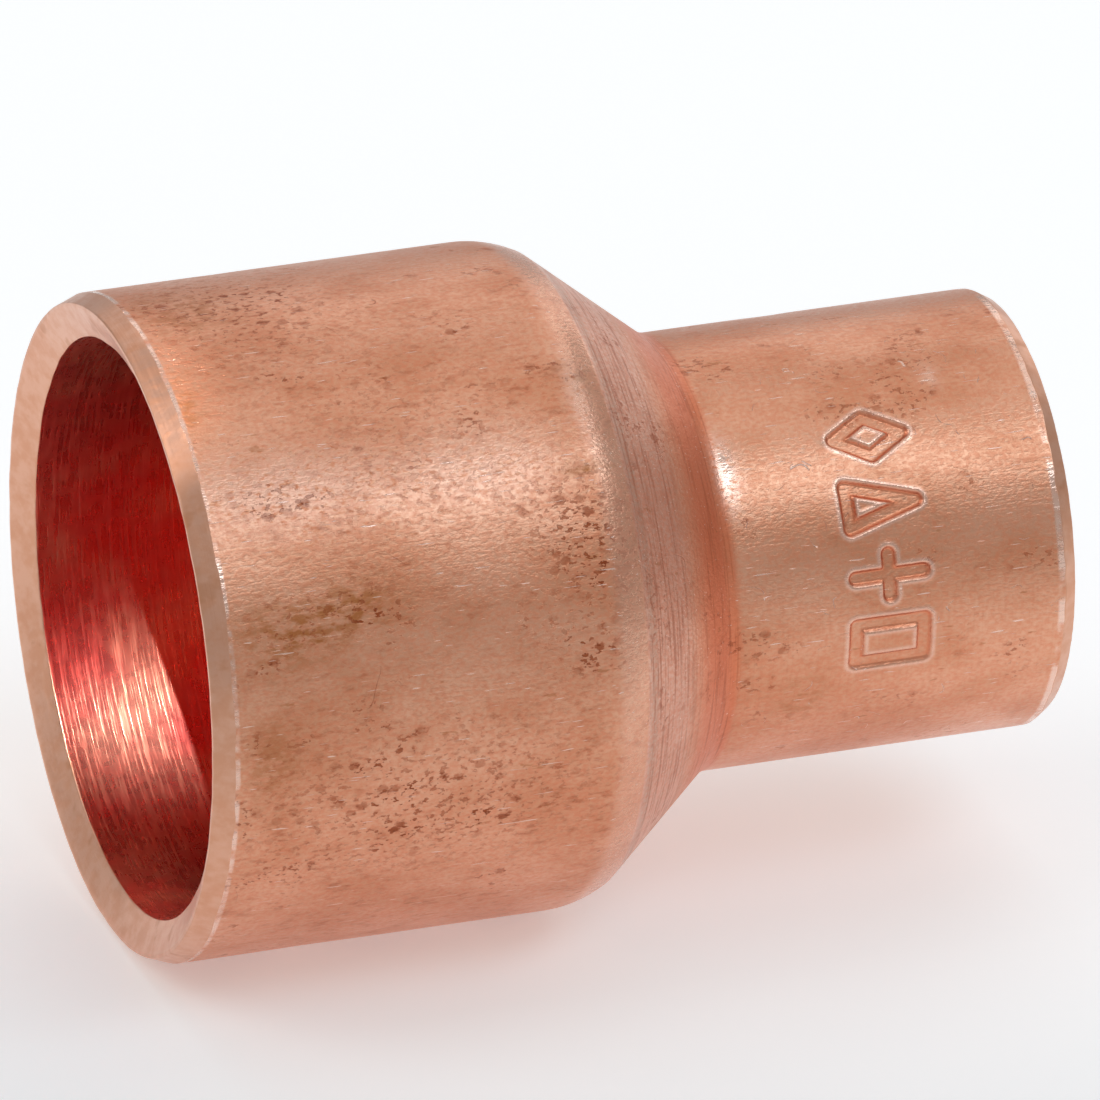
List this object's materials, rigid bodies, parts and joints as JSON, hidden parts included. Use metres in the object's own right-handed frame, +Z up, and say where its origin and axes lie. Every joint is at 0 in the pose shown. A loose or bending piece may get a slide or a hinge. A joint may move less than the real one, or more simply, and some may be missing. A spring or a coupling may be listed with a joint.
{
  "type": "concentric reducer",
  "caption": "Short straight reducer in drawn copper tube: a wide socket, a cone and a narrow socket on one axis, open right through, for soldering.",
  "frame": {"origin": "centre of the large socket's mouth, on the bore's axis", "axes": "+X along the bore from the large mouth to the small one, +Z up, with the stamped marks on the side towards -Y"},
  "size_m": [0.0257, 0.0184, 0.0184],
  "materials": {
    "copper": "satin"
  },
  "bodies": {
    "root": {"reducer_body": "copper"}
  },
  "joints": []
}
